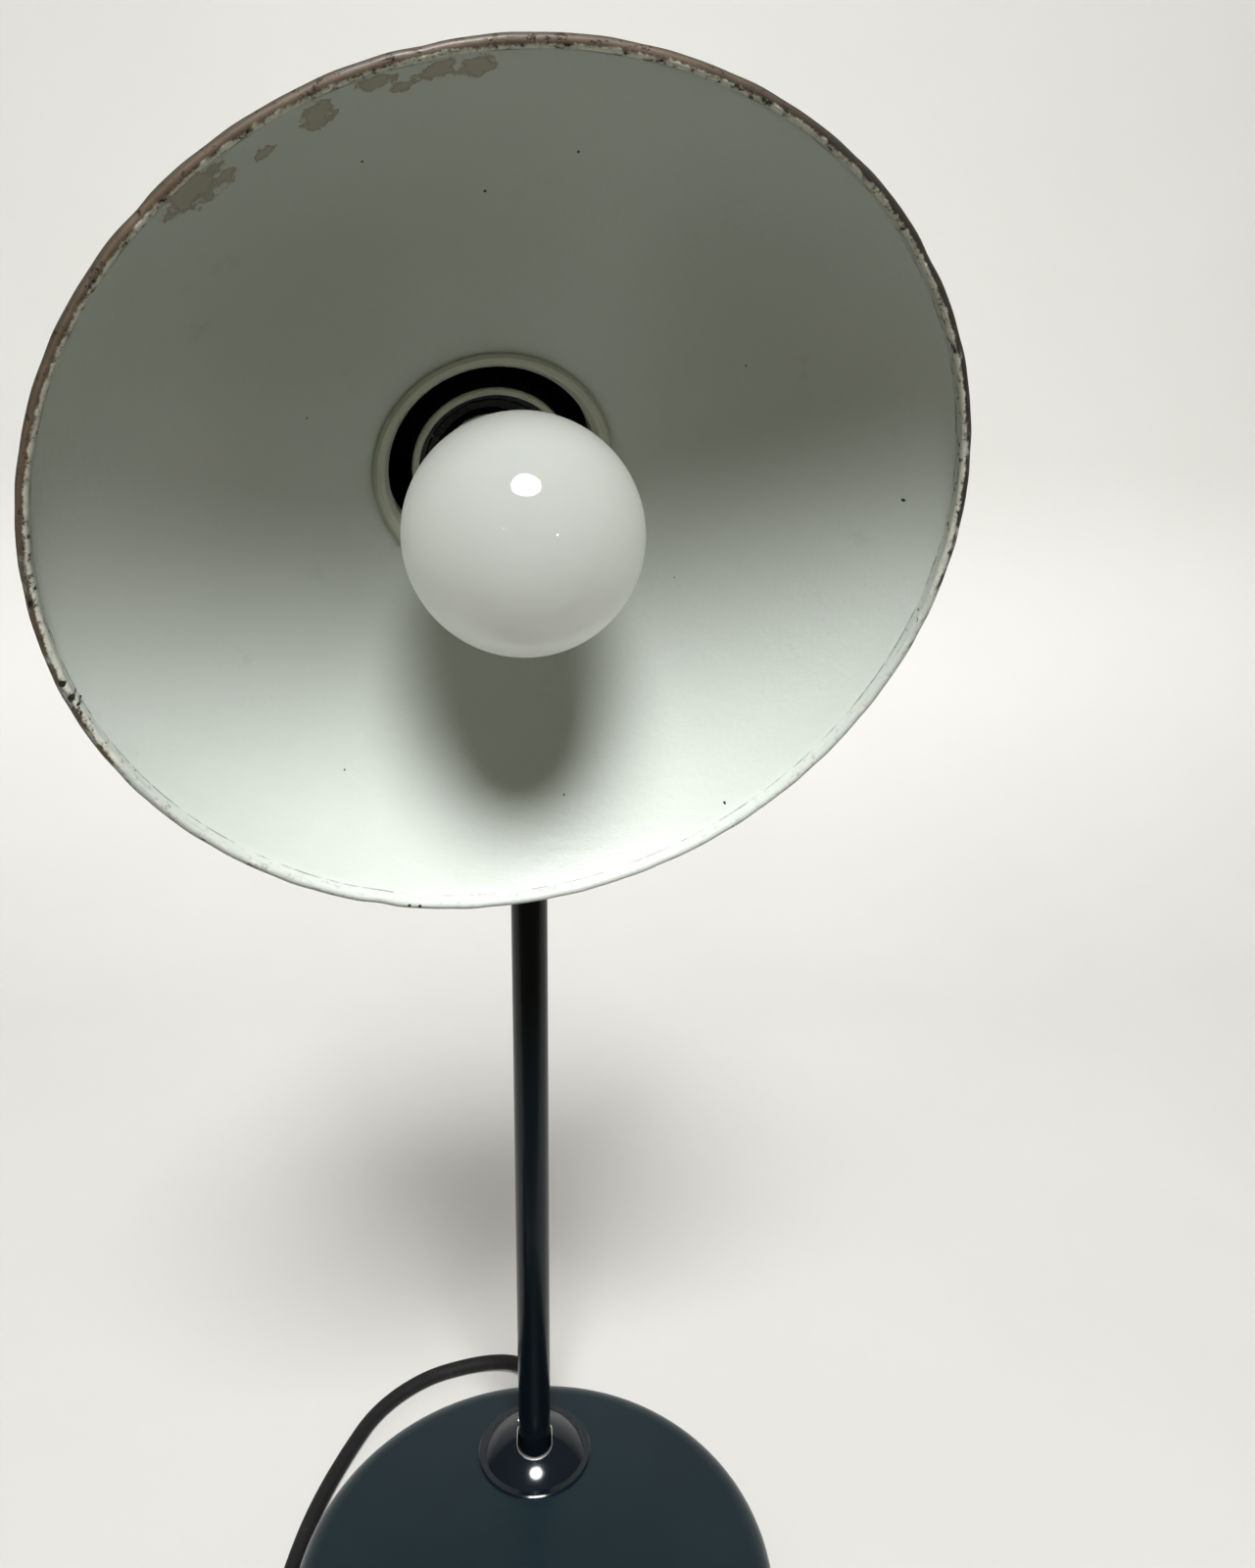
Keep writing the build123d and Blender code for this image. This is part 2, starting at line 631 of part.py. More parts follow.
cup_t = 1.2
cup_front = NECK_Z - SHADE_T - 0.05
with BuildPart() as socket_cup:
    with BuildSketch(HEAD_CUT):
        with BuildLine():
            Line((0, CUP_REAR), (12, CUP_REAR))
            Bezier((12, CUP_REAR), (24, CUP_REAR), (24, 40), (30.7, 54))
            Polyline(
                (30.7, 54), (30.7, cup_front - 1.2), (33.5, cup_front - 1.2), (33.5, cup_front),
                (sleeve_r + 0.1, cup_front), (sleeve_r + 0.1, 54),
            )
            Bezier((sleeve_r + 0.1, 54), (22.9, 40.6), (22.6, CUP_REAR + cup_t), (12, CUP_REAR + cup_t))
            Line((12, CUP_REAR + cup_t), (0, CUP_REAR + cup_t))
            Line((0, CUP_REAR + cup_t), (0, CUP_REAR))
        make_face()
    revolve(axis=HEAD_AXIS)
    with BuildSketch(HEAD.offset(CUP_REAR - 1)):
        Circle(5.1)
    extrude(amount=4, mode=Mode.SUBTRACT)
    # holes for the switch bar
    with BuildSketch(SWITCH.offset(-40)):
        Circle(BUTTON_R + 0.1)
    extrude(amount=80, mode=Mode.SUBTRACT)
finish(socket_cup, "socket_cup")

nipple_end = 20.4
with BuildPart() as cup_nipple:
    with BuildSketch(HEAD.offset(8.6)):
        Circle(5)
        Circle(3.6, mode=Mode.SUBTRACT)
    extrude(amount=nipple_end - 8.6)
finish(cup_nipple, "cup_nipple")

with BuildPart() as cup_nut:
    with BuildSketch(HEAD.offset(foot_back - 3.45)):
        RegularPolygon(7.9, 6)
        Circle(5.05, mode=Mode.SUBTRACT)
    extrude(amount=3.4)
finish(cup_nut, "cup_nut")

# ---------------------------------------------------------------- lampholder
ring_back = HOLDER_FRONT - 1.3
with BuildPart() as holder_skirt:
    with BuildSketch(HEAD_CUT):
        with Locations(((SKIRT_IN + SKIRT_OUT) / 2, 36)):
            Rectangle(SKIRT_OUT - SKIRT_IN, ring_back - 0.05 - 36, align=(Align.CENTER, Align.MIN))
    revolve(axis=HEAD_AXIS)
finish(holder_skirt, "holder_skirt")

with BuildPart() as holder_ring:
    with BuildSketch(HEAD_CUT):
        with BuildLine():
            Polyline(
                (SKIRT_IN, ring_back), (SKIRT_OUT, ring_back), (SKIRT_OUT, HOLDER_FRONT - 0.4),
                (SKIRT_OUT - 0.4, HOLDER_FRONT), (SKIRT_IN + 0.4, HOLDER_FRONT),
                (SKIRT_IN, HOLDER_FRONT - 0.4), close=True,
            )
        make_face()
    revolve(axis=HEAD_AXIS)
finish(holder_ring, "holder_ring")

holder_floor = 32.0
with BuildPart() as holder_body:
    with BuildSketch(HEAD_CUT):
        with BuildLine():
            Polyline(
                (0, HOLDER_BACK), (15, HOLDER_BACK), (19.8, 34), (19.8, 59.5), (18.2, 59.5), (17.4, 58.5),
                (17.4, 55.7), (14.4, 55.7), (14.4, holder_floor), (0, holder_floor), close=True,
            )
        make_face()
    revolve(axis=HEAD_AXIS)
    with BuildSketch(HEAD.offset(holder_floor)):
        with Locations((0, 6), (0, -6)):
            Circle(1.3)
    extrude(amount=-4.2, mode=Mode.SUBTRACT)
finish(holder_body, "holder_body")

with BuildPart() as thread_shell:
    with BuildSketch(HEAD_CUT):
        with BuildLine():
            Polyline(
                (13.3, 38), (14.3, 38), (14.3, 50), (13.7, 50.6), (13.3, 50.2), close=True,
            )
        make_face()
    revolve(axis=HEAD_AXIS)
finish(thread_shell, "thread_shell")

leaf_top = holder_floor + 0.65
with BuildPart() as centre_contact:
    with BuildSketch(HEAD.offset(holder_floor + 0.05)):
        Rectangle(5, 17)
        with Locations((0, 6), (0, -6)):
            Circle(1.3, mode=Mode.SUBTRACT)
    extrude(amount=0.6)
    with BuildSketch(HEAD.offset(leaf_top)):
        Circle(2.4)
    extrude(amount=1.4)
finish(centre_contact, "centre_contact")

with BuildPart() as contact_screws:
    for side in (-6, 6):
        with BuildSketch(HEAD.offset(leaf_top + 0.02)):
            with Locations((0, side)):
                Circle(2.2)
        extrude(amount=1.2)
        with BuildSketch(HEAD.offset(leaf_top + 0.1)):
            with Locations((0, side)):
                Circle(1.25)
        extrude(amount=-4.6)
finish(contact_screws, "contact_screws")

with BuildPart() as switch_body:
    with BuildSketch(HEAD.offset(nipple_end + 0.05)):
        Circle(14.5)
    extrude(amount=HOLDER_BACK - nipple_end - 0.1)
    chamfer(switch_body.edges(), 0.8)
    with BuildSketch(SWITCH.offset(-20)):
        Circle(BAR_R + 0.08)
    extrude(amount=40, mode=Mode.SUBTRACT)
finish(switch_body, "switch_body")

with BuildPart() as switch_bar:
    with BuildSketch(SWITCH.offset(-BAR_HALF)):
        Circle(BAR_R)
    extrude(amount=2 * BAR_HALF)
finish(switch_bar, "switch_bar")

with BuildPart() as switch_buttons:
    for mirrored in (-1, 1):
        with BuildSketch(SWITCH.offset(mirrored * BAR_HALF)):
            Circle(BUTTON_R)
        extrude(amount=mirrored * 2.4)
        with BuildSketch(SWITCH.offset(mirrored * (BAR_HALF - 6.5))):
            Circle(BUTTON_R)
            Circle(BAR_R, mode=Mode.SUBTRACT)
        extrude(amount=mirrored * 6.5)
    fillet(switch_buttons.edges().filter_by(GeomType.CIRCLE).sort_by(HINGE_AXIS)[-1:], 1)
    fillet(switch_buttons.edges().filter_by(GeomType.CIRCLE).sort_by(HINGE_AXIS)[:1], 1)
finish(switch_buttons, "switch_buttons")

with BuildPart() as head_leads:
    for side in (-1.6, 1.6):
        with BuildSketch(HEAD.offset(9)):
            with Locations((0, side)):
                Circle(1.3)
        extrude(amount=nipple_end - 9)
finish(head_leads, "head_leads")

# ================================================================ bulb: unscrews from the lampholder
cap_front = 58.0
cap_back = 40.5
cone_end = 36.8
tangent_share = 0.72     # the round part runs back to this share of its radius
tangent_z = BULB_Z - BULB_R * tangent_share
tangent_r = BULB_R * sqrt(1 - tangent_share**2)
glass_t = 0.9
with BuildPart() as bulb_glass:
    with BuildSketch(HEAD_CUT):
        with BuildLine():
            Line((11.7, cap_front - 3), (12.6, cap_front + 0.3))
            Bezier(
                (12.6, cap_front + 0.3), (13.6, cap_front + 6), (15.9, tangent_z - 4.6), (tangent_r, tangent_z)
            )
            ThreePointArc((tangent_r, tangent_z), (BULB_R, BULB_Z), (0, BULB_Z + BULB_R))
            Line((0, BULB_Z + BULB_R), (0, BULB_Z + BULB_R - glass_t))
            ThreePointArc(
                (0, BULB_Z + BULB_R - glass_t), (BULB_R - glass_t, BULB_Z), (tangent_r - 0.7, tangent_z + 0.5)
            )
            Bezier(
                (tangent_r - 0.7, tangent_z + 0.5), (15.1, tangent_z - 4.2), (12.7, cap_front + 6),
                (11.7, cap_front + 0.3),
            )
            Line((11.7, cap_front + 0.3), (10.9, cap_front - 3))
            Line((10.9, cap_front - 3), (11.7, cap_front - 3))
        make_face()
    revolve(axis=HEAD_AXIS)
finish(bulb_glass, "bulb_glass")

mount_top = cap_front + 24
with BuildPart() as filament_mount:
    with BuildSketch(HEAD_CUT):
        with BuildLine():
            Polyline(
                (0, mount_top), (2.2, mount_top), (3, mount_top - 1), (3, cap_front + 8), (5, cap_front - 1),
                (10.6, cap_front - 2.9), (10.6, cap_front - 3.7), (0, cap_front - 3.7), close=True,
            )
        make_face()
    revolve(axis=HEAD_AXIS)
finish(filament_mount, "filament_mount")

with BuildPart() as filament:
    with BuildLine(HEAD_CUT):
        wire = FilletPolyline(
            (-1.4, mount_top - 1), (-8, mount_top + 2), (-9, mount_top + 12), (9, mount_top + 12),
            (8, mount_top + 2), (1.4, mount_top - 1), radius=1.2,
        )
    with BuildSketch(Plane(origin=wire @ 0, z_dir=wire % 0)):
        Circle(0.35)
    sweep()
finish(filament, "filament")

cap_inside = 12.0
thread_pitch = 3.6
thread_count = 4
with BuildPart() as bulb_cap:
    with BuildSketch(HEAD_CUT):
        with BuildLine():
            start = (CAP_R, cap_back)
            for turn in range(thread_count):
                valley = cap_back + 1.9 + turn * thread_pitch
                Line(start, (CAP_R, valley - 1))
                ThreePointArc((CAP_R, valley - 1), (CAP_R - 0.45, valley), (CAP_R, valley + 1))
                start = (CAP_R, valley + 1)
            Polyline(
                start, (13.4, cap_front), (12.8, cap_front), (cap_inside, cap_front - 2.2),
                (cap_inside, cap_back + 0.3), (8.9, cone_end + 0.4), (9.2, cone_end), (CAP_R, cap_back),
            )
        make_face()
    revolve(axis=HEAD_AXIS)
finish(bulb_cap, "bulb_cap")

with BuildPart() as bulb_insulator:
    with BuildSketch(HEAD.offset(cone_end - 1.4)):
        Circle(8.6)
    extrude(amount=3.6)
finish(bulb_insulator, "bulb_insulator")

with BuildPart() as bulb_contact:
    with BuildSketch(HEAD.offset(cone_end - 2.4)):
        Circle(3.8)
    extrude(amount=0.95)
    fillet(bulb_contact.edges().sort_by(HEAD_AXIS)[:1], 0.5)
finish(bulb_contact, "bulb_contact")

print("run radii", [round(r, 1) for r in tube_radii(LEAD_ROUTE)])
print("tail radii", [round(r, 1) for r in tube_radii(TAIL_ROUTE)])
section = pi * CORD_D**2 / 4
print("run volume ratio", round(cord_run.part.volume / (section * run_path.length), 4))
print("tail volume ratio", round(cord_tail.part.volume / (section * tail_path.length), 4))
print("lead lengths", round(run_path.length), round(tail_path.length))
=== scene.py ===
"""Looks of the desk lamp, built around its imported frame.  Metres, +Z up, the shade looks towards -Y."""
import json
from math import atan2, cos, degrees, exp, pi, radians, sin, sqrt

import bmesh
import bpy
from mathutils import Matrix, Vector


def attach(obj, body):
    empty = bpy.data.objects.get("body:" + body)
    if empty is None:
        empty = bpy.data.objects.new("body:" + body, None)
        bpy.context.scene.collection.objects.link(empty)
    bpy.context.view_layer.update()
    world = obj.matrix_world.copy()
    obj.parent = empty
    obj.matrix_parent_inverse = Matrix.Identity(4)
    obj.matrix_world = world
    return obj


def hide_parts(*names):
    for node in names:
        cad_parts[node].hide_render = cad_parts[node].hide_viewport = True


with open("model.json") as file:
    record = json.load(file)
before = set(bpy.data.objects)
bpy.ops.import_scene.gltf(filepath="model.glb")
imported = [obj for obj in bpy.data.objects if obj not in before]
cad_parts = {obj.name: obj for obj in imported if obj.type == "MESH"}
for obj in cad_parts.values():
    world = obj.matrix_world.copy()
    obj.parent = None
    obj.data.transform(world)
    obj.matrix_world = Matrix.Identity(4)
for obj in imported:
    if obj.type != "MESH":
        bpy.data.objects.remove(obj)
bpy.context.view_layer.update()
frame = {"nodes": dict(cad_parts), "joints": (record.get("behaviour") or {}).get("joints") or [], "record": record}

MM = 0.001
nodes = frame["nodes"]
joints = {joint["name"]: joint for joint in frame["joints"]}
slot_of = {part["node"]: part["material_slot"] for part in frame["record"]["subparts"]}

# the shade's own frame: X to the lamp's side, Y up the shade, Z out of it
AXIS_OFFSET = 21.8 * MM  # from the hinge's place to the shade's axis
hinge = Vector(joints["head_tilt"]["pos_m"])
head_side = Vector(joints["head_tilt"]["axis"]).normalized()
head_out = Vector(joints["bulb_release"]["axis"]).normalized()
head_up = head_out.cross(head_side)
head_turn = Matrix((head_side, head_up, head_out)).transposed()
HEAD = Matrix.Translation(hinge - head_side * AXIS_OFFSET) @ head_turn.to_4x4()

# the collar's slot, around the foot of the stem
STEM_Y = joints["base_swivel"]["pos_m"][1]
SLOT_TRAVEL = 5 * MM
SLOT_WALL = 6.95 * MM  # half the slot's width

# the dish in its own frame, in mm: radii and heights
NECK_R, NECK_Z = 30.0, 64.3
ARC_FOOT = 33.5  # where the bowl's arc begins
LIP_R, LIP_Z = 109.3, 113.2  # where the bowl ends and the rim's narrow band begins
RIM_Z = 116.7
BEAD_R = 1.5
SHADE_T = 0.9
BOWL_Z = NECK_Z + (LIP_R**2 - ARC_FOOT**2 + (LIP_Z - NECK_Z) ** 2) / (2 * (LIP_Z - NECK_Z))
BOWL_R = sqrt(ARC_FOOT**2 + (BOWL_Z - NECK_Z) ** 2)

# the bulb on the same axis
BULB_R = 30.0
BULB_Z = RIM_Z - 16.0
CAP_FRONT = 58.0


# ---------------------------------------------------------------- camera
def make_camera():
    """The camera at the picture's viewing angle."""
    data = bpy.data.cameras.new("camera")
    data.sensor_width = 36
    data.lens = 28.87
    data.shift_y = -0.03375  # what the picture's framing needs
    data.clip_start = 0.01
    camera = bpy.data.objects.new("camera", data)
    heading, pitch, roll = radians(-4.35), radians(72), radians(0.9)
    turn = Matrix.Rotation(heading, 4, "Z") @ Matrix.Rotation(pitch, 4, "X") @ Matrix.Rotation(roll, 4, "Z")
    camera.matrix_world = Matrix.Translation((0.00308, -0.35496, 0.470)) @ turn
    bpy.context.scene.collection.objects.link(camera)
    bpy.context.scene.camera = camera


# ---------------------------------------------------------------- the mains lead
# the lead's places, in mm
CORD_D = 6.4
CORD_Z = CORD_D / 2 + 0.05  # its middle where it lies on the floor
COIL_X, COIL_Y, COIL_R = -137.1, -52.0, 33.5
COIL_LAYERS = 4
LAYER_TURNS = 1.75
POINTS_PER_TURN = 16
CLIMB_POINTS = 3  # over which a layer rises onto the last one
LEAD_ROUTE = [
    (0, 93.4, 9.6),
    (0, 104.9, 9.2),
    (-5.8, 113.2, 7.4),
    (-15.9, 118.2, 5.0),
    (-31, 118.3, CORD_Z),
    (-52, 111.5, CORD_Z),
    (-71, 94.5, CORD_Z),
    (-81.5, 71.5, CORD_Z),
    (-90.5, 46, CORD_Z),
    (-95.5, 20, CORD_Z),
    (-97.4, -3, CORD_Z),
    (-98.2, -24, CORD_Z),
    (-98, -38, CORD_Z),
]
TAIL_ROUTE = [
    (-98.2, -65, 22.4),
    (-97.5, -77, 21),
    (-94, -91, 15.5),
    (-87, -104, 8),
    (-75, -114, 4),
    (-60, -121, CORD_Z + 0.1),
    (-46, -123.6, 5),
    (-37, -124, 6.9),
]


def coil_turns():
    """The wound turns: each layer is a flat spiral, in and out by turns, on top of the last one."""
    layer_points = round(LAYER_TURNS * POINTS_PER_TURN)
    half_width = LAYER_TURNS * CORD_D / 2
    points = []
    for step in range(COIL_LAYERS * layer_points + 1):
        layer, place = divmod(step, layer_points)
        share = place / layer_points
        inward = share if layer % 2 == 0 else 1 - share
        radius = COIL_R + half_width * (1 - 2 * inward)
        rise = min(place / CLIMB_POINTS, 1) - 1 if layer else 0
        height = CORD_Z + CORD_D * min(layer + rise, COIL_LAYERS - 1)
        angle = -2 * pi * step / POINTS_PER_TURN
        points.append((COIL_X + radius * cos(angle), COIL_Y + radius * sin(angle), height))
    return points


def make_lead():
    """One lead from the strain relief through the coil to the plug."""
    route = LEAD_ROUTE + coil_turns() + TAIL_ROUTE
    curve = bpy.data.curves.new("mains_lead", "CURVE")
    curve.dimensions = "3D"
    spline = curve.splines.new("NURBS")
    spline.points.add(len(route) - 1)
    for point, place in zip(spline.points, route):
        point.co = (*(Vector(place) * MM), 1)
        point.radius = CORD_D / 2 * MM
    spline.order_u = 3
    spline.use_endpoint_u = True
    spline.resolution_u = 8
    curve.bevel_depth = 1.0  # times each point's radius
    curve.bevel_resolution = 6
    curve.use_fill_caps = True
    lead = bpy.data.objects.new("mains_lead", curve)
    bpy.context.scene.collection.objects.link(lead)
    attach(lead, "base")
    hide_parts("cord_run", "cord_tail", "cord_coil")
    lead.data.materials.append(MATERIALS["cord_sheath"])


# ---------------------------------------------------------------- node helpers
def add(material, kind, inputs=None, **settings):
    """A new shader node.  Its inputs are plain values or other nodes' sockets."""
    tree = material.node_tree
    made = tree.nodes.new("ShaderNode" + kind)
    for key, value in settings.items():
        setattr(made, key, value)
    for key, value in (inputs or {}).items():
        if isinstance(value, bpy.types.NodeSocket):
            tree.links.new(value, made.inputs[key])
        else:
            made.inputs[key].default_value = value
    return made


def calc(material, operation, *values):
    """The result of a math node, held between 0 and 1 if the operation's name ends with "!"."""
    clamp = operation.endswith("!")
    inputs = dict(enumerate(values))
    return add(material, "Math", inputs, operation=operation.rstrip("!"), use_clamp=clamp).outputs[0]


def times(material, first, second):
    """The product of two values."""
    return calc(material, "MULTIPLY", first, second)


def minus(material, first, second):
    """The first value less the second."""
    return calc(material, "SUBTRACT", first, second)


def place_of(material):
    """The surface point in the piece's own coordinates."""
    return add(material, "TexCoord").outputs["Object"]


def stretched(material, place, scale):
    """A place with its three coordinates scaled by different amounts."""
    return add(material, "VectorMath", {0: place, 1: scale}, operation="MULTIPLY").outputs[0]


def noise_of(material, place, scale, detail=3.0, roughness=0.55):
    """Smooth noise from 0 to 1 with that many features to the metre."""
    values = {"Vector": place, "Scale": scale, "Detail": detail, "Roughness": roughness}
    return add(material, "TexNoise", values).outputs[0]


def step_of(material, value, low, high):
    """0 below low and 1 above high, with a smooth step between."""
    values = {"Value": value, "From Min": low, "From Max": high}
    return add(material, "MapRange", values, interpolation_type="SMOOTHSTEP").outputs[0]


def beyond(material, value, edges_mm):
    """0 before a soft edge and 1 beyond it; the edge's two ends are in mm."""
    low, high = edges_mm
    return step_of(material, value, low * MM, high * MM)


def blend_of(material, share, first, second):
    """A colour between two others."""
    made = add(material, "Mix", {"Factor": share}, data_type="RGBA")
    sockets = {"A": first, "B": second}
    for socket in made.inputs:
        if socket.type == "RGBA" and socket.name in sockets:
            value = sockets[socket.name]
            if isinstance(value, bpy.types.NodeSocket):
                material.node_tree.links.new(value, socket)
            else:
                socket.default_value = (*value, 1)
    return next(socket for socket in made.outputs if socket.type == "RGBA")


def ramp_between(material, value, low, high):
    """A plain number that runs from low to high as value runs from 0 to 1."""
    return add(material, "MapRange", {"Value": value, "To Min": low, "To Max": high}).outputs[0]


def bump(material, height, depth, strength=1.0, after=None):
    """A bump of that depth in metres; its normal goes to the shader."""
    values = {"Height": height, "Distance": depth, "Strength": strength}
    if after:
        values["Normal"] = after
    return add(material, "Bump", values).outputs[0]


def start(name, **sockets):
    """A new material and its Principled shader, with these constant sockets."""
    material = bpy.data.materials.new(name)
    material.use_nodes = True
    shader = material.node_tree.nodes["Principled BSDF"]
    for socket, value in sockets.items():
        constant = (*value, 1) if isinstance(value, tuple) else value
        shader.inputs[socket.replace("_", " ")].default_value = constant
    return material, shader


def drive(material, shader, **sockets):
    """Links node outputs to the shader's sockets."""
    for socket, value in sockets.items():
        material.node_tree.links.new(value, shader.inputs[socket.replace("_", " ")])


# ---------------------------------------------------------------- materials
def enamel_paint(name, colour, roughness, peel=0.00002, coat=0.0, dust=0.25, haze=0.0):
    """Sprayed enamel: orange peel, slight clouding, fine dust and rubbed patches."""
    material, shader = start(
        name, Coat_Weight=coat, Coat_Roughness=0.08, Coat_IOR=1.35, IOR=1.3, Sheen_Weight=haze
    )
    place = place_of(material)
    cloud = noise_of(material, place, 26, 4)
    lighter = tuple(min(1, c * 1.35 + 0.002) for c in colour)
    darker = tuple(c * 0.8 for c in colour)
    body = blend_of(material, cloud, darker, lighter)
    grain = noise_of(material, place, 2600, 2, 0.7)
    flecks = times(material, step_of(material, grain, 0.70, 0.78), dust)
    rubbing = noise_of(material, place, 60, 5)
    drive(
        material, shader,
        Base_Color=blend_of(material, flecks, body, (0.16, 0.17, 0.17)),
        Roughness=ramp_between(material, rubbing, roughness * 0.8, roughness * 1.25),
        Normal=bump(material, noise_of(material, place, 700, 2, 0.4), peel),
    )
    return material


def slotted_enamel(name, colour, slot_y, travel, wall):
    """Glossy enamel rubbed down to bright steel along the edge of the stem's slot."""
    wear, wander = 0.12 * MM, 0.6 * MM
    material = enamel_paint(name, colour, 0.15, peel=0.00001, coat=0.5, dust=0.08)
    shader = material.node_tree.nodes["Principled BSDF"]
    place = place_of(material)
    split = add(material, "SeparateXYZ", {0: place}).outputs
    nearest = add(material, "Clamp", {"Value": split["Y"], "Min": slot_y - travel, "Max": slot_y}).outputs[0]
    off_slot = minus(material, split["Y"], nearest)
    away = add(material, "CombineXYZ", {"X": split["X"], "Y": off_slot, "Z": 0.0}).outputs[0]
    away = add(material, "VectorMath", {0: away}, operation="LENGTH").outputs["Value"]
    ragged = times(material, noise_of(material, place, 900, 3), wander)
    edge = minus(material, away, ragged)
    rubbed = minus(material, 1.0, step_of(material, edge, wall - wear, wall + wear))
    painted = shader.inputs["Base Color"].links[0].from_socket
    gloss = shader.inputs["Roughness"].links[0].from_socket
    drive(
        material, shader,
        Base_Color=blend_of(material, rubbed, painted, (0.62, 0.62, 0.60)),
        Metallic=rubbed,
        Roughness=calc(material, "ADD!", gloss, times(material, rubbed, 0.12)),
    )
    return material


def moulded_plastic(name, colour, roughness, grain=0.00002):
    """Moulded plastic: fine mould grain, faint mottling and finger polish."""
    material, shader = start(name, IOR=1.48)
    place = place_of(material)
    cloud = noise_of(material, place, 90, 4)
    darker = tuple(c * 0.88 for c in colour)
    lighter = tuple(min(1, c * 1.12) for c in colour)
    polish = noise_of(material, place, 140, 4)
    drive(
        material, shader,
        Base_Color=blend_of(material, cloud, darker, lighter),
        Roughness=ramp_between(material, polish, roughness * 0.75, roughness * 1.25),
        Normal=bump(material, noise_of(material, place, 1800, 2, 0.6), grain),
    )
    return material


def plain_metal(name, colour, roughness, stain=0.25):
    """Bare or plated metal with fine working marks and a little tarnish."""
    material, shader = start(name, Metallic=1.0)
    place = place_of(material)
    cloud = noise_of(material, place, 120, 5, 0.65)
    tarnish = times(material, step_of(material, cloud, 0.5, 0.72), stain)
    worked = noise_of(material, place, 900, 3, 0.7)
    drive(
        material, shader,
        Base_Color=blend_of(material, tarnish, colour, tuple(c * 0.45 for c in colour)),
        Roughness=calc(
            material, "ADD!", ramp_between(material, worked, roughness * 0.7, roughness * 1.3),
            times(material, tarnish, 0.35),
        ),
        Normal=bump(material, worked, 0.00001),
    )
    return material


def rubber_material(name, colour, roughness):
    """Soft rubber or vinyl sheath: matte, with a fine drawn texture and pale scuffs."""
    material, shader = start(name, IOR=1.35, Sheen_Weight=0.02)
    place = place_of(material)
    scuff = noise_of(material, place, 220, 6, 0.7)
    scuff = times(material, step_of(material, scuff, 0.56, 0.7), 0.22)
    handling = noise_of(material, place, 130, 4)
    drive(
        material, shader,
        Base_Color=blend_of(material, scuff, colour, (0.05, 0.05, 0.048)),
        Roughness=ramp_between(material, handling, roughness * 0.85, roughness * 1.15),
        Normal=bump(material, noise_of(material, place, 2200, 3, 0.7), 0.00003),
    )
    return material


def cast_iron(name):
    """Rough sand-cast iron with a thin black lacquer and rust in its pores."""
    material, shader = start(name, Metallic=0.4)
    place = place_of(material)
    pores = noise_of(material, place, 420, 6, 0.7)
    rust = step_of(material, noise_of(material, place, 55, 6, 0.7), 0.56, 0.68)
    drive(
        material, shader,
        Base_Color=blend_of(material, rust, (0.03, 0.03, 0.032), (0.14, 0.055, 0.025)),
        Roughness=ramp_between(material, pores, 0.5, 0.85),
        Normal=bump(material, pores, 0.0003),
    )
    return material


def felt_material(name):
    """Pressed felt: crossing short fibres over soft clumps."""
    material, shader = start(name, Sheen_Weight=0.5, Sheen_Roughness=0.6, IOR=1.3)
    place = place_of(material)
    along = noise_of(material, stretched(material, place, (1, 6, 1)), 900, 4, 0.7)
    across = noise_of(material, stretched(material, place, (6, 1, 1)), 900, 4, 0.7)
    fibres = calc(material, "MAXIMUM", along, across)
    clumps = noise_of(material, place, 110, 3)
    nap = times(material, fibres, clumps)
    drive(
        material, shader,
        Base_Color=blend_of(material, nap, (0.008, 0.02, 0.012), (0.05, 0.10, 0.065)),
        Roughness=ramp_between(material, clumps, 0.85, 1.0),
        Normal=bump(material, fibres, 0.0003),
    )
    return material


def fibre_board(name):
    """Brown vulcanised fibre with a faint laminated grain."""
    material, shader = start(name, IOR=1.45)
    place = place_of(material)
    grain = noise_of(material, stretched(material, place, (1, 5, 1)), 700, 4, 0.7)
    drive(
        material, shader,
        Base_Color=blend_of(material, grain, (0.10, 0.035, 0.018), (0.24, 0.10, 0.05)),
        Roughness=ramp_between(material, grain, 0.55, 0.8),
        Normal=bump(material, grain, 0.00006),
    )
    return material


def opal_glass(name):
    """White coated glass: glossy outside, with light passing through the coat."""
    through_share = 0.65
    material, shader = start(name, IOR=1.5, Coat_Weight=0.6, Coat_Roughness=0.04)
    place = place_of(material)
    coat = noise_of(material, place, 45, 3)
    dust = step_of(material, noise_of(material, place, 900, 4, 0.7), 0.62, 0.75)
    body = blend_of(material, coat, (0.52, 0.545, 0.515), (0.58, 0.60, 0.575))
    drive(
        material, shader,
        Base_Color=blend_of(material, times(material, dust, 0.10), body, (0.30, 0.29, 0.26)),
        Roughness=ramp_between(material, noise_of(material, place, 160, 4), 0.035, 0.075),
        Normal=bump(material, noise_of(material, place, 30, 1), 0.00004),
    )
    through = add(material, "BsdfTranslucent", {"Color": (0.88, 0.88, 0.85, 1)})
    mixed = add(material, "MixShader", {0: through_share, 1: shader.outputs[0], 2: through.outputs[0]})
    surface = material.node_tree.nodes["Material Output"].inputs["Surface"]
    material.node_tree.links.new(mixed.outputs[0], surface)
    return material


def clear_glass(name):
    """Clear glass with faint drawn lines."""
    material, shader = start(name, IOR=1.5, Transmission_Weight=0.9, Base_Color=(0.85, 0.88, 0.87))
    place = place_of(material)
    lines = noise_of(material, stretched(material, place, (1, 1, 0.2)), 400, 3)
    drive(
        material, shader,
        Roughness=ramp_between(material, lines, 0.03, 0.09),
        Normal=bump(material, lines, 0.00003),
    )
    return material


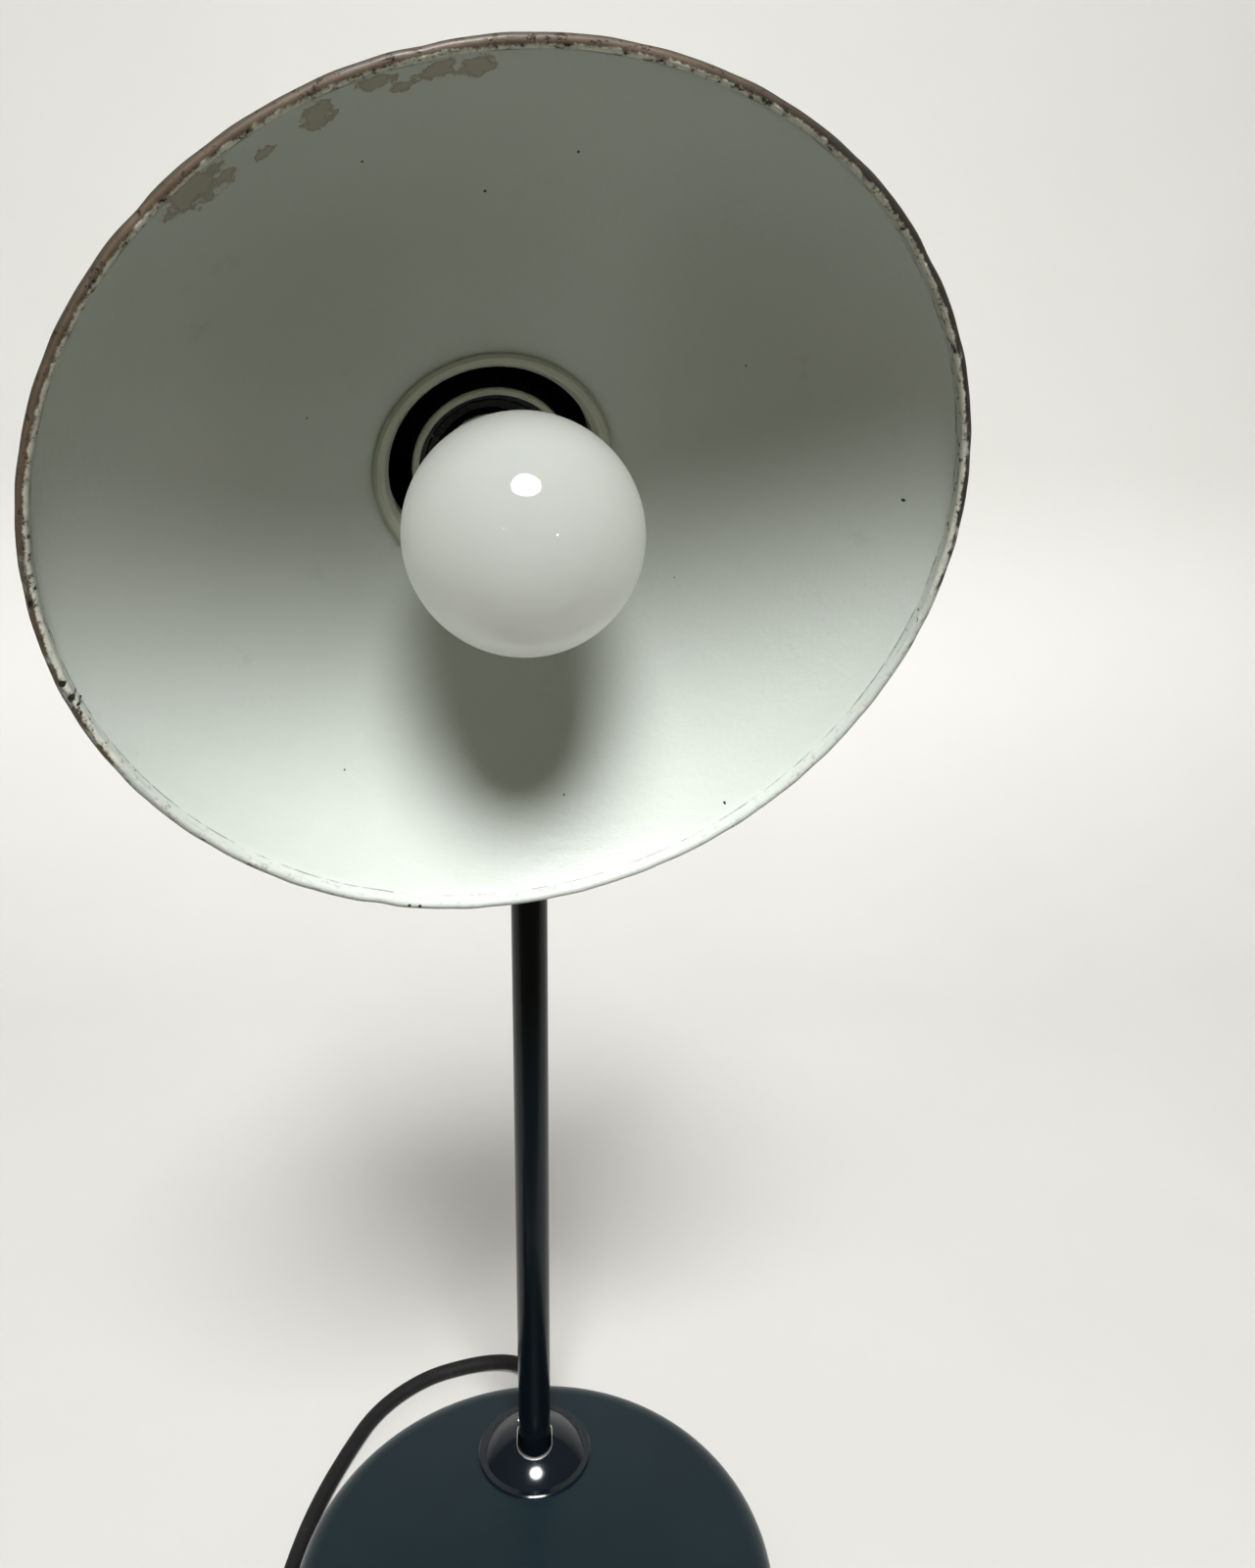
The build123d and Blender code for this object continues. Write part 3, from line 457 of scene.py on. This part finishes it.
# stains inside the rim: (degrees clockwise from the top, radius in mm, length and width in mm)
STAINS = [
    (-41.5, 107.0, 7.0, 4.2), (-38.2, 104.3, 3.0, 1.4), (-33.3, 103.7, 2.6, 1.3),
    (-26.6, 105.2, 4.0, 2.6), (-27.5, 103.0, 1.6, 1.0), (-20.0, 106.8, 4.6, 1.6),
    (-17.2, 104.6, 3.0, 1.2), (-13.6, 106.4, 4.2, 2.0), (-9.6, 106.0, 4.2, 2.4),
]
# chips and specks: (degrees clockwise from the top, radius in mm, size in mm)
SPECKS = [
    (85.3, 101.2, 0.55), (143.3, 107.0, 0.35), (-7.4, 76.2, 0.4), (5.6, 86.7, 0.3), (-24.3, 91.0, 0.3),
    (-103.0, 110.3, 1.0), (-105.2, 110.0, 0.9), (-106.4, 109.4, 0.5), (-166.2, 110.7, 0.5),
    (-164.6, 110.7, 0.4), (168.0, 92.0, 0.25), (-150.0, 88.0, 0.25), (120.0, 60.0, 0.22),
    (60.0, 70.0, 0.25), (-70.0, 52.0, 0.22),
]


# the rim's zones, in mm: each pair is where a zone's soft edge begins and ends
BAND_FOOT = (112.8, 113.6)  # height at which the narrow band starts
BAND_INSIDE = (108.8, 109.1)
BEAD_INSIDE = (109.35, 109.6)
BEAD_OUTER_HALF = (110.0, 110.6)
BEAD_OUTER_EDGE = (111.4, 111.8)
# height and half width of the painted crease shade at the band's foot, in mm
CREASE_Z, CREASE_HALF = 113.25, 0.22


def polar(degrees_from_top, radius):
    """A place on the shade, from its clock angle and radius in mm, in its own frame."""
    angle = radians(degrees_from_top)
    return (radius * sin(angle) * MM, radius * cos(angle) * MM)


def shade_inside(name):
    """Old cream enamel: clouded and specked, stained near the rim, and worn to brown metal on the bead."""
    material, shader = start(name, IOR=1.5, Coat_Weight=0.12, Coat_Roughness=0.2)
    place = place_of(material)
    x, y, z = add(material, "SeparateXYZ", {0: place}).outputs
    squares = calc(material, "ADD", times(material, x, x), times(material, y, y))
    radius = calc(material, "SQRT", squares)
    clock = calc(material, "ARCTAN2", x, y)
    # coordinates that run along the rim, so that its marks are long and thin
    rim_place = add(material, "CombineXYZ", {
        "X": times(material, clock, 0.03), "Y": radius, "Z": z,
    }).outputs[0]

    # the enamel itself
    cloud = noise_of(material, place, 14, 4, 0.5)
    body = blend_of(material, cloud, (0.50, 0.53, 0.485), (0.58, 0.61, 0.575))
    grey = step_of(material, noise_of(material, place, 60, 6, 0.75), 0.60, 0.72)
    body = blend_of(material, times(material, grey, 0.16), body, (0.30, 0.31, 0.27))

    # stains, with a darker tide mark at their edge
    ragged = noise_of(material, place, 330, 4, 0.65)
    flat = add(material, "CombineXYZ", {"X": x, "Y": y, "Z": 0.0}).outputs[0]
    stain = None
    for turn, reach, length, width in STAINS:
        local = add(material, "Mapping", {
            "Vector": flat, "Location": (*polar(turn, reach), 0), "Rotation": (0, 0, -radians(turn)),
            "Scale": (length * MM, width * MM, 1),
        }, vector_type="TEXTURE").outputs[0]
        away = add(material, "VectorMath", {0: local}, operation="LENGTH").outputs["Value"]
        stain = away if stain is None else calc(material, "MINIMUM", stain, away)
    ragged = minus(material, ragged, 0.5)
    edge = calc(material, "ADD", stain, times(material, ragged, 2.6))
    inside_stain = minus(material, 1.0, step_of(material, edge, 0.75, 1.05))
    tide = times(material, step_of(material, edge, 0.45, 0.85), inside_stain)
    body = blend_of(material, times(material, inside_stain, 0.55), body, (0.27, 0.20, 0.10))
    body = blend_of(material, times(material, tide, 0.35), body, (0.14, 0.10, 0.055))

    # how worn the rim is: most at the top and upper left, least at the bottom
    around = calc(material, "COSINE", minus(material, clock, radians(-8)))
    long_marks = noise_of(material, stretched(material, rim_place, (1, 0.5, 0.5)), 420, 5, 0.7)
    short_marks = noise_of(material, stretched(material, rim_place, (3, 1, 1)), 520, 5, 0.75)
    patches = times(material, minus(material, long_marks, 0.5), 1.5)
    worn = calc(material, "ADD", times(material, around, 0.5), patches)
    worn = step_of(material, worn, -0.32, 0.02)
    wander = times(material, minus(material, short_marks, 0.5), 2.4 * MM)
    bead = beyond(material, radius, BEAD_INSIDE)
    outer_half = beyond(material, calc(material, "ADD", radius, wander), BEAD_OUTER_HALF)
    worn_bead = times(material, worn, outer_half)
    towards_right = calc(material, "COSINE", minus(material, clock, radians(72)))
    darkest = step_of(material, towards_right, 0.35, 0.85)

    # its crest is painted brighter, partly worn cream and partly a painted highlight; its outer half is brown, and
    # black on the right
    inner_half = minus(material, bead, times(material, bead, outer_half))
    crest_wear_and_highlight = times(material, worn, inner_half)
    bright = step_of(material, short_marks, 0.45, 0.6)
    bright = blend_of(material, bright, (0.80, 0.77, 0.66), (0.50, 0.44, 0.34))
    body = blend_of(material, times(material, crest_wear_and_highlight, 0.85), body, bright)
    brown = blend_of(material, long_marks, (0.028, 0.018, 0.011), (0.17, 0.115, 0.075))
    brown = blend_of(material, times(material, darkest, 0.85), brown, (0.012, 0.009, 0.007))
    steel = times(material, step_of(material, short_marks, 0.58, 0.66), worn_bead)
    steel = times(material, steel, minus(material, 1.0, darkest))
    rubbed = blend_of(material, steel, brown, (0.42, 0.37, 0.30))
    body = blend_of(material, worn_bead, body, rubbed)
    # a dark line all round the bead's outer edge: painted shade where the bead curls away
    painted_edge_shade = beyond(material, radius, BEAD_OUTER_EDGE)
    body = blend_of(material, times(material, painted_edge_shade, 0.75), body, (0.035, 0.032, 0.024))

    # dark chips along the narrow band inside the bead, and a patchy dark line at its foot: painted shade in the
    # crease where the bowl turns into the band
    band = times(material, beyond(material, z, BAND_FOOT), beyond(material, radius, BAND_INSIDE))
    chips = times(material, band, step_of(material, short_marks, 0.57, 0.62))
    chips = times(material, chips, ramp_between(material, worn, 0.18, 1.0))
    crease_shade = times(material, calc(material, "COMPARE", z, CREASE_Z * MM, CREASE_HALF * MM), 0.55)
    crease_shade = times(material, crease_shade, step_of(material, long_marks, 0.42, 0.6))
    body = blend_of(material, crease_shade, body, (0.09, 0.065, 0.05))
    body = blend_of(material, chips, body, (0.035, 0.022, 0.016))

    # single chips and specks
    speck = None
    for turn, reach, size in SPECKS:
        centre = (*polar(turn, reach), 0)
        away = add(material, "VectorMath", {0: flat, 1: centre}, operation="DISTANCE").outputs["Value"]
        away = calc(material, "DIVIDE", away, size * MM)
        speck = away if speck is None else calc(material, "MINIMUM", speck, away)
    speck = calc(material, "ADD", speck, times(material, ragged, 1.5))
    specks = minus(material, 1.0, step_of(material, speck, 0.8, 1.1))
    body = blend_of(material, specks, body, (0.02, 0.016, 0.014))

    lifted = calc(material, "ADD!", chips, specks)
    peel = bump(material, noise_of(material, place, 520, 2, 0.4), 0.00003)
    scarred = bump(material, minus(material, 1.0, lifted), 0.00012, after=peel)
    gloss = ramp_between(material, noise_of(material, place, 80, 4), 0.27, 0.4)
    dull = times(material, calc(material, "MAXIMUM", inside_stain, worn_bead), 0.25)
    drive(
        material, shader,
        Base_Color=body,
        Metallic=times(material, steel, 0.9),
        Roughness=calc(material, "ADD!", gloss, dull),
        Normal=bump(material, long_marks, 0.00018, after=scarred),
    )
    return material


PETROL = (0.0015, 0.0085, 0.0125)
COLLAR_BLACK = (0.002, 0.004, 0.007)
STEM_BLACK = (0.001, 0.003, 0.005)
FINE_PEEL = 0.01 * MM
MATERIALS = {
    "base_paint": enamel_paint("base_paint", PETROL, 0.34, haze=0.10),
    "collar_paint": enamel_paint("collar_paint", COLLAR_BLACK, 0.17, peel=FINE_PEEL, coat=0.4, dust=0.1),
    "stem_paint": enamel_paint("stem_paint", STEM_BLACK, 0.24, peel=FINE_PEEL, coat=0.1, dust=0.12),
    "shade_enamel": shade_inside("shade_enamel"),
    "shade_back": enamel_paint("shade_back", PETROL, 0.3),
    "cup_paint": enamel_paint("cup_paint", (0.0015, 0.0075, 0.011), 0.28),
    "cream_plastic": moulded_plastic("cream_plastic", (0.50, 0.51, 0.43), 0.32),
    "black_plastic": moulded_plastic("black_plastic", (0.012, 0.012, 0.013), 0.28),
    "plug_plastic": moulded_plastic("plug_plastic", (0.018, 0.018, 0.019), 0.5, grain=0.00005),
    "cord_sheath": rubber_material("cord_sheath", (0.003, 0.003, 0.003), 0.75),
    "rubber": rubber_material("rubber", (0.014, 0.014, 0.015), 0.65),
    "cast_iron": cast_iron("cast_iron"),
    "zinc_steel": plain_metal("zinc_steel", (0.62, 0.63, 0.62), 0.32),
    "spring_steel": plain_metal("spring_steel", (0.30, 0.30, 0.32), 0.3),
    "bare_steel": plain_metal("bare_steel", (0.55, 0.55, 0.54), 0.35),
    "nickel": plain_metal("nickel", (0.66, 0.62, 0.56), 0.18),
    "brass": plain_metal("brass", (0.62, 0.43, 0.17), 0.25, stain=0.5),
    "felt": felt_material("felt"),
    "fibre": fibre_board("fibre"),
    "opal_glass": opal_glass("opal_glass"),
    "clear_glass": clear_glass("clear_glass"),
    "filament_wire": plain_metal("filament_wire", (0.25, 0.25, 0.26), 0.4),
    "cap_metal": plain_metal("cap_metal", (0.70, 0.71, 0.72), 0.22),
    "black_glass": moulded_plastic("black_glass", (0.006, 0.006, 0.010), 0.08),
    "solder": plain_metal("solder", (0.45, 0.46, 0.47), 0.45, stain=0.5),
}

# a node's own finish, where it differs from the rest of its slot
NODE_MATERIALS = {
    "collar_dome": slotted_enamel("collar_slotted", COLLAR_BLACK, STEM_Y, SLOT_TRAVEL, SLOT_WALL),
    # the stem's foot, seen down in the collar's slot, in steel much darker than the bare steel elsewhere
    "stem_foot": plain_metal("dark_steel", (0.10, 0.10, 0.105), 0.5, stain=0.6),
}


def paint_cad_nodes():
    """Each CAD node takes the material of its slot, or its own one."""
    for node, slot in slot_of.items():
        mesh = nodes[node].data
        finish = NODE_MATERIALS.get(node, MATERIALS[slot])
        for index in range(len(mesh.materials)):
            mesh.materials[index] = finish
        if not mesh.materials:
            mesh.materials.append(finish)


# ---------------------------------------------------------------- mesh helpers
def revolved(name, profile, steps, closed=True, adjust=None, sharp=35):
    """A mesh turned about its own Z from (radius, height) points in mm; radius 0 makes a pole."""
    form = bmesh.new()
    rings = []
    for index, (radius, height) in enumerate(profile):
        if radius < 1e-6:
            rings.append([form.verts.new((0, 0, height * MM))])
            continue
        ring = []
        for step in range(steps):
            angle = 2 * pi * step / steps
            r, z = adjust(index, angle, radius, height) if adjust else (radius, height)
            ring.append(form.verts.new((r * cos(angle) * MM, r * sin(angle) * MM, z * MM)))
        rings.append(ring)
    pairs = list(zip(rings, rings[1:]))
    if closed:
        pairs.append((rings[-1], rings[0]))
    for lower, upper in pairs:
        for step in range(steps):
            after = (step + 1) % steps
            if len(lower) == 1 and len(upper) > 1:
                form.faces.new((lower[0], upper[after], upper[step]))
            elif len(upper) == 1 and len(lower) > 1:
                form.faces.new((lower[step], lower[after], upper[0]))
            elif len(upper) > 1:
                form.faces.new((lower[step], lower[after], upper[after], upper[step]))
    bmesh.ops.recalc_face_normals(form, faces=form.faces)
    mesh = bpy.data.meshes.new(name)
    form.to_mesh(mesh)
    form.free()
    mesh.shade_smooth()
    mesh.set_sharp_from_angle(angle=radians(sharp))
    piece = bpy.data.objects.new(name, mesh)
    bpy.context.scene.collection.objects.link(piece)
    return piece


def arc(centre, radius, first, last, count):
    """Points of an arc in degrees, ends included."""
    return [
        (centre[0] + radius * cos(radians(first + (last - first) * k / count)),
         centre[1] + radius * sin(radians(first + (last - first) * k / count)))
        for k in range(count + 1)
    ]


# ---------------------------------------------------------------- shade
# small knocks in the rim: (degrees around, width in degrees, depth in mm)
KNOCKS = [(105, 2.2, 0.35), (136, 1.6, 0.3), (42, 2.6, 0.3), (250, 2.0, 0.25)]


def bowl_angle(radius, sphere):
    """The polar angle, in degrees, of a sphere at that distance from the shade's axis."""
    return degrees(atan2(-sqrt(sphere**2 - radius**2), radius))


def make_shade():
    """The spun dish with its rolled bead, a little out of true as an old one is."""
    inner = arc((0, BOWL_Z), BOWL_R, bowl_angle(ARC_FOOT, BOWL_R), bowl_angle(LIP_R - 0.15, BOWL_R), 60)
    band = [(LIP_R, LIP_Z + 0.2), (LIP_R, LIP_Z + 1.2), (LIP_R, LIP_Z + 2.4)]
    bead_centre = (LIP_R + 1.35, RIM_Z - BEAD_R - 0.05)
    bead = arc(bead_centre, BEAD_R - 0.1, 178, -62, 14)
    outer = arc((0, BOWL_Z), BOWL_R + SHADE_T, bowl_angle(LIP_R - 0.2, BOWL_R + SHADE_T),
                bowl_angle(ARC_FOOT, BOWL_R + SHADE_T), 60)
    neck = [(NECK_R, NECK_Z - SHADE_T), (NECK_R, NECK_Z)]
    profile = inner + band + bead + [(LIP_R + SHADE_T, LIP_Z + 0.6)] + outer + neck
    bead_start, outer_start = len(inner) + len(band), len(inner) + len(band) + len(bead) + 1

    def worn_round(index, angle, radius, height):
        """Soft waves and a few knocks, growing towards the rim."""
        near_rim = max(0.0, (radius - 60) / 52) ** 2
        wave = 0.10 * sin(3 * angle + 0.4) + 0.06 * sin(7 * angle + 2.0) + 0.03 * sin(17 * angle)
        if bead_start <= index < outer_start:
            wave += 0.05 * sin(41 * angle + 1.3) + 0.035 * sin(67 * angle + 0.7)
        for place, width, depth in KNOCKS:
            off = (degrees(angle) - place + 180) % 360 - 180
            wave -= depth * exp(-(off / width) ** 2)
        return radius + wave * near_rim, height + 0.5 * wave * near_rim

    shade = revolved("shade_dish", profile, 360, adjust=worn_round, sharp=50)
    shade.data.materials.append(MATERIALS["shade_enamel"])
    shade.data.materials.append(MATERIALS["shade_back"])
    for face in shade.data.polygons:
        place = face.center / MM
        outside = (place - Vector((0, 0, BOWL_Z))).length > BOWL_R + SHADE_T / 2
        off_bead = place.xy.length < LIP_R + SHADE_T + 0.2 and place.z < RIM_Z - 2.4
        face.material_index = 1 if outside and off_bead else 0
    shade.matrix_world = HEAD
    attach(shade, "head")
    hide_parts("shade")


# ---------------------------------------------------------------- bulb
def make_bulb():
    """The round opal envelope, down to where it enters its cap."""
    tangent_share = 0.72  # how far down the ball its neck leaves it
    tangent_z = BULB_Z - BULB_R * tangent_share
    tangent_r = BULB_R * sqrt(1 - tangent_share**2)
    neck = [(12.6, CAP_FRONT + 0.3), (13.6, CAP_FRONT + 6), (15.9, tangent_z - 4.6), (tangent_r, tangent_z)]
    steps = 16
    curve = []
    for step in range(steps):
        t = step / steps
        weights = ((1 - t) ** 3, 3 * t * (1 - t) ** 2, 3 * t * t * (1 - t), t**3)
        curve.append(tuple(sum(w * point[axis] for w, point in zip(weights, neck)) for axis in (0, 1)))
    foot = -degrees(atan2(tangent_share, sqrt(1 - tangent_share**2)))
    round_part = arc((0, BULB_Z), BULB_R, foot, 90, 72)
    round_part[-1] = (0, BULB_Z + BULB_R)
    profile = [(11.7, CAP_FRONT - 3)] + curve + round_part
    bulb = revolved("bulb_envelope", profile, 192, closed=False, sharp=80)
    bulb.data.materials.append(MATERIALS["opal_glass"])
    bulb.matrix_world = HEAD
    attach(bulb, "bulb")
    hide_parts("bulb_glass")


# ---------------------------------------------------------------- stage and light
SURROUND_R = 2900  # mm
FLOOR_HALF = 3.0  # half the floor's width, in metres


def swept_sheet(name, profile, material):
    """A wide sheet through the given (y, z) points."""
    form = bmesh.new()
    rows = [[form.verts.new((x, y, z)) for x in (-FLOOR_HALF, FLOOR_HALF)] for y, z in profile]
    for lower, upper in zip(rows, rows[1:]):
        form.faces.new((lower[0], lower[1], upper[1], upper[0]))
    mesh = bpy.data.meshes.new(name)
    form.to_mesh(mesh)
    form.free()
    mesh.shade_smooth()
    mesh.materials.append(material)
    sheet = bpy.data.objects.new(name, mesh)
    bpy.context.scene.collection.objects.link(sheet)
    return sheet


def make_stage():
    """A pale floor that sweeps up into a back wall, inside a pale room.

    The front of the floor and the room are seen, but throw no light back at the lamp.
    """
    material, shader = start("floor", Roughness=0.6)
    place = place_of(material)
    cloud = noise_of(material, place, 6, 4)
    ground = blend_of(material, cloud, (0.49, 0.475, 0.46), (0.53, 0.517, 0.503))
    wall = blend_of(material, cloud, (0.65, 0.635, 0.61), (0.69, 0.677, 0.655))
    # the wall is painted lighter than the floor: painted light, for the brighter light that falls on the wall
    height = add(material, "SeparateXYZ", {0: place}).outputs["Z"]
    drive(material, shader, Base_Color=blend_of(material, step_of(material, height, 0.0, 0.3), ground, wall))
    # in metres: the split between front and back, the start of the sweep, its radius, the wall's top
    split, bend, reach, top = -0.12, 0.45, 0.35, 0.95
    curve = arc((bend, reach), reach, -80, 0, 8)
    swept_sheet("floor", [(split, 0.0), (bend, 0.0)] + curve + [(bend + reach, top)], material)
    front = swept_sheet("floor_front", [(-FLOOR_HALF, 0.0), (split, 0.0)], material)
    dome = [(SURROUND_R, 0)] + arc((0, 1200), SURROUND_R, 0, 90, 12)
    surround = revolved("surround", dome, 96, closed=False)
    paint, shader = start(
        "surround", Roughness=1.0, Emission_Color=(0.78, 0.77, 0.75), Emission_Strength=0.75
    )
    haze = noise_of(paint, place_of(paint), 1.2, 2)
    drive(paint, shader, Base_Color=blend_of(paint, haze, (0.10, 0.10, 0.10), (0.12, 0.12, 0.12)))
    surround.data.materials.append(paint)
    surround.visible_shadow = False
    for sheet in (front, surround):
        sheet.visible_diffuse = False
        sheet.visible_glossy = False


def area_light(name, target, azimuth, elevation, distance, size, power, colour=(1.0, 1.0, 1.0), spread=180):
    """An oval light that looks at target; azimuth 0 is straight in front of the lamp."""
    data = bpy.data.lights.new(name, "AREA")
    data.shape = "ELLIPSE"
    data.size, data.size_y = size
    data.energy = power
    data.spread = radians(spread)
    data.color = colour
    a, e = radians(azimuth), radians(elevation)
    towards = Vector((sin(a) * cos(e), -cos(a) * cos(e), sin(e)))
    light = bpy.data.objects.new(name, data)
    light.location = target + towards * distance
    light.rotation_mode = "QUATERNION"
    light.rotation_quaternion = towards.to_track_quat("Z", "Y")
    bpy.context.scene.collection.objects.link(light)


def make_lights():
    """One large soft lamp high in front, two small weak ones for glints, and a dim even room."""
    bulb_centre = HEAD @ Vector((0, 0, BULB_Z * MM))
    area_light(
        "key", bulb_centre, azimuth=4, elevation=55, distance=4, size=(1.75, 1.5), power=39,
        colour=(0.98, 1.0, 1.0), spread=60,
    )
    area_light(
        "left_lamp", bulb_centre, azimuth=-18, elevation=15, distance=1.5, size=(0.03, 0.03), power=0.12,
    )
    area_light(
        "right_lamp", bulb_centre, azimuth=31, elevation=9, distance=1.5, size=(0.05, 0.05), power=0.3,
    )
    world = bpy.data.worlds.new("room")
    world.use_nodes = True
    background = world.node_tree.nodes["Background"]
    background.inputs["Color"].default_value = (1.0, 0.97, 0.70, 1)
    background.inputs["Strength"].default_value = 0.135
    bpy.context.scene.world = world
    bpy.context.scene.view_settings.view_transform = "Standard"


make_camera()
make_lead()
paint_cad_nodes()
make_shade()
make_bulb()
make_stage()
make_lights()
